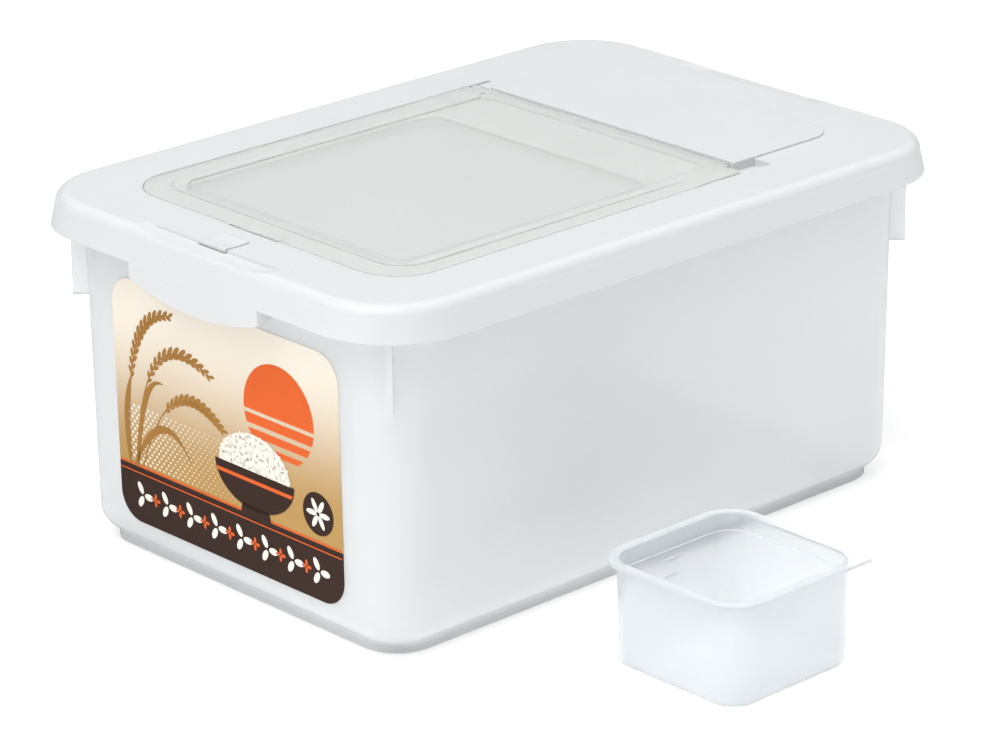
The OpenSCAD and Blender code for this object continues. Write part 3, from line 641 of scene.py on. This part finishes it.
def mesh_object(name, mesh, material, body):
    """A finished piece: plain mesh at the origin, riding on a body."""
    piece = bpy.data.objects.new(name, mesh)
    bpy.context.scene.collection.objects.link(piece)
    mesh.materials.clear()
    mesh.materials.append(material)
    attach(piece, body)


def print_mesh(name, mesh, material, level):
    """Lays a mesh drawn in the label's plane on the label's face."""
    middle, side, up, out = label_plane()
    turn = Matrix((side, up, out)).transposed().to_4x4()
    mesh.transform(Matrix.Translation(middle + out * level) @ turn)
    mesh.update()
    mesh_object(name, mesh, material, "bin")


class Press:
    """Prints shapes and grown patterns in the label's inks. A layer is one ink step above the one below."""

    def __init__(self, settings):
        low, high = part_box("label")
        self.foot = -(high[2] - low[2]) / 2
        self.band = self.foot + settings.band_height
        self.step = settings.ink_step
        self.inks = {name: ink("ink_" + name, getattr(settings, name))
                     for name in ("orange", "brown", "rice", "ochre", "cream")}

    def flat(self, name, colour, layer, *outlines):
        print_mesh(name, flat_mesh(name, outlines, self.step), self.inks[colour], layer * self.step)

    def grown(self, name, colour, layer, tree, guide=None, shift=None, **values):
        material = self.inks[colour]
        mesh = grown_mesh(name, tree, guide, Thickness=self.step, Material=material, **values)
        if shift:
            mesh.transform(Matrix.Translation(Vector(shift)))
        print_mesh(name, mesh, material, layer * self.step)


# ---------------------------------------------------------------- pieces


class RICEBIN_OT_tub(bpy.types.Operator):
    """Finish the frosted tub"""

    bl_idname = "ricebin.tub"
    bl_label = "Tub"

    def execute(self, context):
        tint = tuple(context.scene.ricebin_plastic.tub_tint)
        dress("tub", moulded_plastic("frosted_polypropylene", tint, clouding=0.008, roughness=0.14, grain=0.35,
                                     ripple=1.0, transmission=0.5, ior=1.1))
        return {"FINISHED"}


class RICEBIN_OT_lid(bpy.types.Operator):
    """Finish the white lid and its press tab"""

    bl_idname = "ricebin.lid"
    bl_label = "Lid and press tab"

    def execute(self, context):
        white = tuple(context.scene.ricebin_plastic.lid_white)
        dress("lid_frame", moulded_plastic("white_polypropylene", white, clouding=0.015, roughness=0.36, grain=0.5,
                                           ripple=0.8, subsurface=0.15))
        dress("press_tab", moulded_plastic("tab_polypropylene", white, clouding=0.02, roughness=0.4, grain=0.5,
                                           ripple=0.5, subsurface=0.15))
        return {"FINISHED"}


class RICEBIN_OT_flip_lid(bpy.types.Operator):
    """Finish the translucent flip lid"""

    bl_idname = "ricebin.flip_lid"
    bl_label = "Flip lid"

    def execute(self, context):
        tint = tuple(context.scene.ricebin_plastic.flap_tint)
        dress("flap", moulded_plastic("translucent_polypropylene", tint, clouding=0.01, roughness=0.13, grain=0.3,
                                      ripple=0.8, transmission=0.66, ior=1.12))
        return {"FINISHED"}


class RICEBIN_OT_cup(bpy.types.Operator):
    """Finish the milky measuring cup"""

    bl_idname = "ricebin.cup"
    bl_label = "Measuring cup"

    def execute(self, context):
        tint = tuple(context.scene.ricebin_plastic.cup_tint)
        dress("measuring_cup", moulded_plastic("clear_polypropylene", tint, clouding=0.01, roughness=0.1, grain=0.2,
                                               ripple=0.8, transmission=0.62, ior=1.15))
        return {"FINISHED"}


class RICEBIN_OT_label(bpy.types.Operator):
    """Print the label's ground and its dark band"""

    bl_idname = "ricebin.label"
    bl_label = "Label"

    def execute(self, context):
        settings = context.scene.ricebin_label
        low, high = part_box("label")
        material, tree, shader = start_material("printed_label")
        place = split_xyz(tree, object_place(tree))
        across = ramp(tree, place["X"], low[0], high[0], 0.0, 1.0, "LINEAR")
        upward = ramp(tree, place["Z"], low[2], high[2], 0.0, 1.0, "LINEAR")
        # the ground deepens to gold towards the foot, and a little towards the right
        warm = math_node(tree, "ADD", math_node(tree, "MULTIPLY", across, 0.1),
                         math_node(tree, "SUBTRACT", 1.0, upward))
        ground = mix_colour(tree, ramp(tree, warm, 0.1, 0.75), tuple(settings.cream), tuple(settings.gold))
        band_top = low[2] + settings.band_height
        band = ramp(tree, place["Z"], band_top - 0.1 * MM, band_top + 0.1 * MM, 1.0, 0.0, "LINEAR")
        grain = print_finish(tree, shader, mix_colour(tree, band, ground, tuple(settings.brown)), 0.07)
        bump = add_node(tree, "ShaderNodeBump", Strength=1.0, Distance=1.0, Height=grain["Height"])
        put(tree, shader.inputs["Normal"], bump.outputs["Normal"])
        dress("label", material)
        return {"FINISHED"}


class RICEBIN_OT_print(bpy.types.Operator):
    """Print the label's sun, bowl of rice, ears and borders"""

    bl_idname = "ricebin.print"
    bl_label = "Label print"

    def execute(self, context):
        settings = context.scene.ricebin_label
        press = Press(settings)
        self.sun(press)
        self.ears(press, settings.grain_count)
        self.bowl(press, settings.seed)
        self.badge(press)
        self.borders(press)
        return {"FINISHED"}

    def sun(self, press):
        """A sun cut by haze, over a field of dots."""
        x, y, radius = 33 * MM, 19 * MM, 21 * MM
        cuts = ((-0.86, -0.74), (-0.62, -0.46), (-0.36, -0.16), (-0.08, 0.9999))
        press.flat("printed_sun", "orange", 1, *(disc_band(x, y, radius, radius * a, radius * b) for a, b in cuts))
        press.grown("printed_dots", "cream", 1, dots_tree(), shift=(-24 * MM, -14 * MM, 0.0), Width=74 * MM,
                    Height=24 * MM, Columns=26, Rows=15, Dot=1.5 * MM)

    def ears(self, press, grain_count):
        """Three ears that rise from the band and bend to the right, and their leaves."""
        tree = ear_tree()
        level = press.band + 0.2 * MM
        paths = (
            ((-58 * MM, level), (-50 * MM, 44 * MM), (-9 * MM, 24 * MM)),
            ((-54 * MM, level), (-34 * MM, 26 * MM), (-2 * MM, 3 * MM)),
            ((-61 * MM, level), (-64 * MM, 40 * MM), (-33 * MM, 43 * MM)),
        )
        for number, (start, bend, end) in enumerate(paths, 1):
            press.grown("printed_ear_%d" % number, "ochre", 2, tree, Start=(*start, 0.0), Bend=(*bend, 0.0),
                        End=(*end, 0.0), Stem_Width=0.7 * MM, Grain_Length=4.6 * MM, Grain_Width=2.0 * MM,
                        Grain_Count=grain_count, Spread=0.5, Bare_Share=0.46)
        press.flat(
            "printed_leaves", "ochre", 3,
            blade((-59 * MM, level), (-40 * MM, 8 * MM), (-22 * MM, -18 * MM), 3.4 * MM),
            blade((-57 * MM, level), (-52 * MM, 16 * MM), (-38 * MM, 12 * MM), 3.0 * MM),
            blade((-62 * MM, level), (-66 * MM, 0 * MM), (-57 * MM, 14 * MM), 2.8 * MM),
        )

    def bowl(self, press, seed):
        """A striped bowl on a foot, with a heap of scattered grains."""
        x, rim, wide = 17 * MM, -9.5 * MM, 24 * MM
        press.flat("printed_heap", "cream", 4, half_oval(x, rim, wide * 0.9, 16 * MM))
        inner = half_oval(x, rim, wide * 0.87, 15 * MM)
        guide = bpy.data.meshes.new("heap_guide")
        guide.from_pydata([(px, py, 0.0) for px, py in inner], [], [list(range(len(inner)))])
        press.grown("printed_grains", "rice", 6, heap_tree(), guide, Distance=1.5 * MM, Grain_Length=3.6 * MM,
                    Grain_Width=1.5 * MM, Seed=seed)
        body = half_oval(x, rim, wide, -(rim - press.band - 2.2 * MM))
        half, foot_top = 9 * MM, press.band + 4 * MM
        foot = [(x - half, press.band), (x + half, press.band), (x + half * 0.9, foot_top),
                (x - half * 0.9, foot_top)]
        press.flat("printed_bowl", "brown", 8, body, foot)
        low, high = rim - 5 * MM, rim - 3.4 * MM
        press.flat("printed_stripe", "orange", 10, [
            (x - wide * 0.93, low), (x + wide * 0.93, low), (x + wide * 0.965, high), (x - wide * 0.965, high)])

    def badge(self, press):
        """A round badge with a flower of six grains."""
        x, y, radius = 55 * MM, -16 * MM, 9 * MM
        press.flat("printed_badge", "brown", 4, disc_band(x, y, radius, -radius * 0.99999, radius * 0.99999))
        press.grown("printed_badge_flower", "rice", 6, row_tree(), First=(x, y, 0.0), Step=(1.0, 0.0, 0.0), Count=1,
                    Petals=6, Grain_Length=6.2 * MM, Grain_Width=2.4 * MM)

    def borders(self, press):
        """Flowers and sparks in turn along the band, and two thin lines at its top."""
        tree = row_tree()
        middle = press.foot + (press.band - press.foot) * 0.5
        count, pitch = 8, 15.6 * MM
        first = -pitch * (count - 1) / 2
        press.grown("printed_flowers", "rice", 1, tree, First=(first, middle, 0.0), Step=(pitch, 0.0, 0.0),
                    Count=count, Petals=3, Grain_Length=5.6 * MM, Grain_Width=3.0 * MM)
        press.grown("printed_sparks", "orange", 1, tree, First=(first + pitch / 2, middle, 0.0),
                    Step=(pitch, 0.0, 0.0), Count=count - 1, Petals=4, Grain_Length=2.6 * MM, Grain_Width=1.5 * MM)
        half = 68.4 * MM
        press.flat("printed_lines", "orange", 2, *(
            [(-half, level), (half, level), (half, level + wide), (-half, level + wide)]
            for level, wide in ((press.band, 0.9 * MM), (press.band - 3.0 * MM, 0.5 * MM))))


class RICEBIN_OT_stage(bpy.types.Operator):
    """Set the floor, lights and camera"""

    bl_idname = "ricebin.stage"
    bl_label = "Stage"

    def execute(self, context):
        scene, settings = context.scene, context.scene.ricebin_stage
        self.floor(scene, settings)
        self.world(scene, settings)
        self.key_light(scene, settings)
        self.camera(scene, settings)
        scene.view_settings.view_transform = "Standard"
        scene.cycles.max_bounces = 32
        scene.cycles.diffuse_bounces = 12
        scene.cycles.glossy_bounces = 8
        scene.cycles.transmission_bounces = 32
        return {"FINISHED"}

    def floor(self, scene, settings):
        """A pale floor, lifted to white where it is seen, whose glow is painted bounce light on the near side, with
        painted shade under the bin.
        """
        mesh = bpy.data.meshes.new("floor")
        work = bmesh.new()
        bmesh.ops.create_grid(work, x_segments=1, y_segments=1, size=FLOOR_SIZE / 2)
        work.to_mesh(mesh)
        work.free()
        material, tree, shader = start_material("pale_floor")
        place = object_place(tree)
        noise = add_node(tree, "ShaderNodeTexNoise", Scale=3.0, Vector=place)
        put(tree, shader.inputs["Base Color"],
            mix_colour(tree, noise.outputs["Fac"], (0.55, 0.55, 0.55), (0.57, 0.57, 0.57)))
        shader.inputs["Roughness"].default_value = 0.8
        shader.inputs["Specular IOR Level"].default_value = 0.1
        shader.inputs["Emission Color"].default_value = WHITE

        # the floor's glow is painted bounce light that stands in for light thrown back, and grows from the far side to
        # the near side over a band across the floor
        axes = split_xyz(tree, place)
        near = math_node(tree, "SUBTRACT", axes["X"], math_node(tree, "MULTIPLY", axes["Y"], FRONT_SHARE))
        painted_bounce = ramp(tree, near, -NEAR_SPREAD, NEAR_SPREAD, settings.far_glow, settings.near_glow)
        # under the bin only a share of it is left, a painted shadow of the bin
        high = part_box("tub")[1]
        away = math_node(tree, "MAXIMUM", *(
            math_node(tree, "SUBTRACT", math_node(tree, "ABSOLUTE", axes[axis]), reach)
            for axis, reach in (("X", high[0]), ("Y", high[1]))))
        given = math_node(tree, "MULTIPLY", painted_bounce, ramp(tree, away, -SHADE_EDGE, 0.0, settings.shade, 1.0))
        seen = tree.nodes.new("ShaderNodeLightPath").outputs["Is Camera Ray"]
        white = math_node(tree, "MULTIPLY", seen, settings.glow)
        put(tree, shader.inputs["Emission Strength"], math_node(tree, "MAXIMUM", given, white))

        mesh.materials.append(material)
        mesh.transform(Matrix.Translation(Vector((0.0, 0.0, -FLOOR_DROP))))
        floor = bpy.data.objects.new("floor", mesh)
        scene.collection.objects.link(floor)

    def world(self, scene, settings):
        """A white surround, brightest overhead, that falls away on the long sides and is white where it is seen."""
        world = bpy.data.worlds.new("white_surround")
        world.use_nodes = True
        tree = world.node_tree
        way = split_xyz(tree, object_place(tree))
        overhead = math_node(tree, "MULTIPLY", way["Z"], settings.lift)
        behind = math_node(tree, "MULTIPLY", way["Y"], settings.front_fill)
        # the long sides lose most at the horizon
        low = math_node(tree, "SUBTRACT", 1.0, math_node(tree, "MULTIPLY", way["Z"], way["Z"]))
        side = math_node(tree, "MULTIPLY", math_node(tree, "ABSOLUTE", way["X"]), low)
        fall = math_node(tree, "MULTIPLY", side, settings.side_fall)
        level = math_node(tree, "ADD", settings.world_strength, overhead)
        for loss in (behind, fall):
            level = math_node(tree, "SUBTRACT", level, loss)
        given = math_node(tree, "MAXIMUM", level, settings.least)
        seen = tree.nodes.new("ShaderNodeLightPath").outputs["Is Camera Ray"]
        background = tree.nodes["Background"]
        background.inputs["Color"].default_value = WHITE
        put(tree, background.inputs["Strength"], math_node(tree, "MAXIMUM", given, seen))
        scene.world = world

    def key_light(self, scene, settings):
        """A large soft light in front of the bin and above it."""
        light = bpy.data.lights.new("key", "AREA")
        light.shape = "DISK"
        light.size = 2.2
        light.energy = settings.key_power
        lamp = bpy.data.objects.new("key", light)
        place, target = Vector((0.1, -1.1, 2.2)), Vector((0.04, 0.0, 0.07))
        lamp.location = place
        lamp.rotation_euler = (target - place).to_track_quat("-Z", "Y").to_euler()
        scene.collection.objects.link(lamp)

    def camera(self, scene, settings):
        azimuth, elevation = settings.azimuth, settings.elevation
        back = Vector((math.sin(azimuth) * math.cos(elevation), -math.cos(azimuth) * math.cos(elevation),
                       math.sin(elevation)))
        right = Vector((math.cos(azimuth), math.sin(azimuth), 0.0))
        up = back.cross(right)
        data = bpy.data.cameras.new("camera")
        data.sensor_width = SENSOR_WIDTH
        data.lens = settings.lens
        data.shift_x = settings.shift
        data.clip_start = 0.05
        camera = bpy.data.objects.new("camera", data)
        turn = Matrix((right, up, back)).transposed().to_4x4()
        camera.matrix_world = Matrix.Translation(Vector(settings.target) + back * settings.distance) @ turn
        scene.collection.objects.link(camera)
        scene.camera = camera


# ---------------------------------------------------------------- panel


class RICEBIN_PT_panel(bpy.types.Panel):
    """Sidebar panel with the settings and the steps"""

    bl_label = "Rice bin"
    bl_idname = "RICEBIN_PT_panel"
    bl_space_type = "VIEW_3D"
    bl_region_type = "UI"
    bl_category = "Rice bin"

    def draw(self, context):
        layout = self.layout
        for title, owner in (("Plastics", context.scene.ricebin_plastic), ("Label", context.scene.ricebin_label),
                             ("Stage", context.scene.ricebin_stage)):
            box = layout.box()
            box.label(text=title)
            for name in owner.__annotations__:
                box.prop(owner, name)
        for step in STEPS:
            layout.operator(step.bl_idname)


STEPS = (RICEBIN_OT_stage, RICEBIN_OT_tub, RICEBIN_OT_lid, RICEBIN_OT_flip_lid, RICEBIN_OT_label,
         RICEBIN_OT_print, RICEBIN_OT_cup)
SETTINGS = (
    (RicebinPlasticSettings, "ricebin_plastic"),
    (RicebinLabelSettings, "ricebin_label"),
    (RicebinStageSettings, "ricebin_stage"),
)


def register():
    for group, name in SETTINGS:
        bpy.utils.register_class(group)
        setattr(bpy.types.Scene, name, PointerProperty(type=group))
    for step in STEPS:
        bpy.utils.register_class(step)
    bpy.utils.register_class(RICEBIN_PT_panel)


def unregister():
    bpy.utils.unregister_class(RICEBIN_PT_panel)
    for step in reversed(STEPS):
        bpy.utils.unregister_class(step)
    for group, name in reversed(SETTINGS):
        delattr(bpy.types.Scene, name)
        bpy.utils.unregister_class(group)


def main():
    register()
    for step in STEPS:
        area, action = step.bl_idname.split(".")
        if getattr(getattr(bpy.ops, area), action)() != {"FINISHED"}:
            raise RuntimeError("step did not finish: " + step.bl_idname)


if __name__ == "__main__":
    main()
